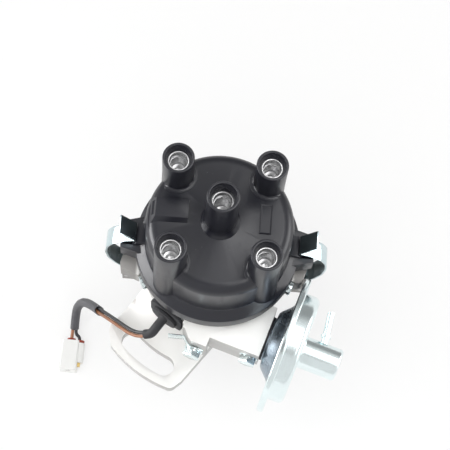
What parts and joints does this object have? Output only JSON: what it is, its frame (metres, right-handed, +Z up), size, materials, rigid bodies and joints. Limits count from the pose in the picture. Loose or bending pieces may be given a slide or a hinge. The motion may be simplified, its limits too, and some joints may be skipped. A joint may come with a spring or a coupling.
{
  "type": "ignition distributor",
  "caption": "Ignition distributor with a high-towered cap, vacuum advance unit, slotted clamp arm, spring clips, drive gear and a short plugged lead.",
  "frame": {"origin": "on the shaft axis at the underside of the slotted arm, where the distributor seats on the engine", "axes": "+Z up the shaft axis towards the cap; X through the two cap clips, with the vacuum unit on the +X side; -Y towards the slotted arm and the lead"},
  "size_m": [0.1468, 0.1162, 0.1696],
  "materials": {
    "cast_aluminium": "bright as-cast, satin",
    "black_phenolic": "glossy moulded",
    "zinc_plate": "bright blue-white zinc",
    "spring_steel": "bright zinc",
    "bright_insert": "turned bright",
    "ground_steel": "ground and oiled",
    "dark_steel": "phosphated",
    "bronze": "sintered, oiled",
    "brass": "turned",
    "black_rubber": "matt moulded",
    "brown_rubber": "matt moulded",
    "carbon": "pressed carbon",
    "coil_plastic": "moulded",
    "brown_insulation": "extruded",
    "black_insulation": "extruded",
    "sleeve_vinyl": "extruded",
    "white_nylon": "moulded",
    "dust_card": "pressed"
  },
  "bodies": {
    "housing": {"housing": "cast_aluminium", "upper_bush": "bronze", "lower_bush": "bronze", "o_ring": "black_rubber", "thrust_washer": "ground_steel", "base_plate": "zinc_plate", "plate_screws": "zinc_plate", "dust_cover": "dust_card", "cap": "black_phenolic", "cap_towers": "black_phenolic", "cap_seal": "black_rubber", "outer_terminals": "bright_insert", "centre_terminal": "bright_insert", "brush_spring": "spring_steel", "vacuum_gasket": "black_rubber", "vacuum_back_shell": "zinc_plate", "vacuum_front_shell": "zinc_plate", "vacuum_pipe": "zinc_plate", "diaphragm": "black_rubber", "vacuum_spring": "spring_steel", "front_screws": "zinc_plate", "earth_tab": "zinc_plate", "clip_pins": "ground_steel", "grommet": "black_rubber", "lead_wire_brown": "brown_insulation", "lead_wire_black": "black_insulation", "lead_sleeve": "sleeve_vinyl", "connector_housing": "white_nylon", "connector_seals": "brown_rubber", "connector_terminals": "brass"},
    "shaft": {"main_shaft": "ground_steel", "drive_gear": "ground_steel", "gear_roll_pin": "dark_steel", "governor_plate": "dark_steel", "weight_pins": "ground_steel", "sleeve_washer": "ground_steel", "sleeve_screw": "ground_steel", "governor_springs": "spring_steel"},
    "rotor_group": {"rotor_sleeve": "ground_steel", "reluctor": "dark_steel", "rotor": "black_phenolic", "rotor_electrode": "brass"},
    "weight_a": {"governor_weight_a": "dark_steel"},
    "weight_b": {"governor_weight_b": "dark_steel"},
    "rod_group": {"vacuum_rod": "zinc_plate", "diaphragm_cup": "zinc_plate"},
    "pickup": {"pickup_plate": "zinc_plate", "pickup_coil": "coil_plastic", "pole_piece": "dark_steel", "coil_screws": "zinc_plate"},
    "clip_left": {"clip_left": "spring_steel"},
    "clip_right": {"clip_right": "spring_steel"},
    "brush": {"carbon_brush": "carbon"}
  },
  "joints": [
    {"name": "shaft_spin", "type": "hinge", "parent": "housing", "child": "shaft", "pos_m": [0, 0, 0], "axis": [0, 0, 1], "continuous": true},
    {"name": "advance_turn", "type": "hinge", "parent": "shaft", "child": "rotor_group", "pos_m": [0, 0, 0], "axis": [0, 0, 1], "range_deg": [0, 12], "stiffness_Nm_per_rad": 0.05, "deforming": ["governor_springs"]},
    {"name": "weight_a_swing", "type": "hinge", "parent": "shaft", "child": "weight_a", "pos_m": [0.017, 0, 0], "axis": [0, 0, 1], "range_deg": [-14, 0]},
    {"name": "weight_b_swing", "type": "hinge", "parent": "shaft", "child": "weight_b", "pos_m": [-0.017, 0, 0], "axis": [0, 0, 1], "range_deg": [-14, 0]},
    {"name": "vacuum_pull", "type": "slide", "parent": "housing", "child": "rod_group", "axis": [0.9563, -0.2924, 0], "range_m": [0, 0.0035], "stiffness_N_per_m": 800, "deforming": ["vacuum_spring", "diaphragm"]},
    {"name": "pickup_turn", "type": "hinge", "parent": "housing", "child": "pickup", "pos_m": [0, 0, 0], "axis": [0, 0, 1], "range_deg": [0, 7]},
    {"name": "clip_left_swing", "type": "hinge", "parent": "housing", "child": "clip_left", "pos_m": [-0.0452, 0, 0.0155], "axis": [0, -1, 0], "range_deg": [0, 95]},
    {"name": "clip_right_swing", "type": "hinge", "parent": "housing", "child": "clip_right", "pos_m": [0.0452, 0, 0.0155], "axis": [0, 1, 0], "range_deg": [0, 95]},
    {"name": "brush_slide", "type": "slide", "parent": "housing", "child": "brush", "axis": [0, 0, 1], "range_m": [0, 0.0015], "stiffness_N_per_m": 60, "deforming": ["brush_spring"]}
  ],
  "couplings": [
    {"joint": "weight_a_swing", "follows": "advance_turn", "ratio": -1.125},
    {"joint": "weight_b_swing", "follows": "advance_turn", "ratio": -1.125},
    {"joint": "pickup_turn", "follows": "vacuum_pull", "rad_per_m": 34.01}
  ]
}
